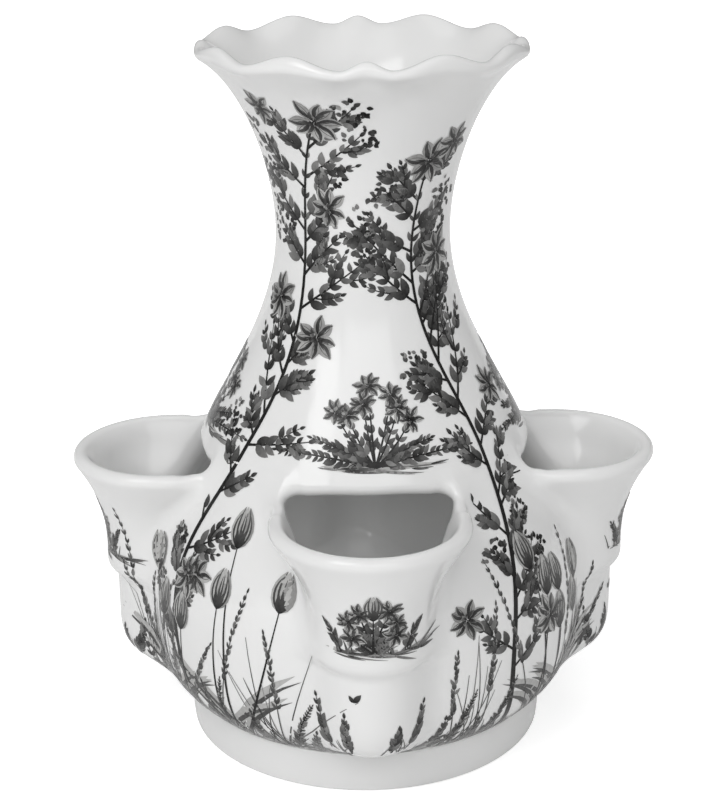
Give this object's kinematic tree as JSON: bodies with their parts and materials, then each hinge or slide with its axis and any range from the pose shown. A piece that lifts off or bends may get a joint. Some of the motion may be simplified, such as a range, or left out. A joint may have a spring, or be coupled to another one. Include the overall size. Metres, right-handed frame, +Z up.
{
  "type": "tulipiere",
  "caption": "White glazed baluster flower vase on a foot ring, with a scalloped flaring rim and flared stem pockets set round its bulb.",
  "frame": {"origin": "centre of the foot ring's resting face, on the vertical axis of the vase", "axes": "+Z up along the vase's axis, front pocket towards -Y, right pocket towards +X"},
  "size_m": [0.257, 0.257, 0.3078],
  "materials": {
    "white_glaze": "smooth glossy white glaze",
    "painted_ink": "near-black underglaze brushwork with grey washes, under the same gloss"
  },
  "bodies": {
    "root": {"foot_ring": "white_glaze", "bulb": "white_glaze", "neck": "white_glaze", "rim": "white_glaze", "front_pocket": "white_glaze", "right_pocket": "white_glaze", "back_pocket": "white_glaze", "left_pocket": "white_glaze", "front_bead": "white_glaze", "right_bead": "white_glaze", "back_bead": "white_glaze", "left_bead": "white_glaze"}
  },
  "joints": []
}
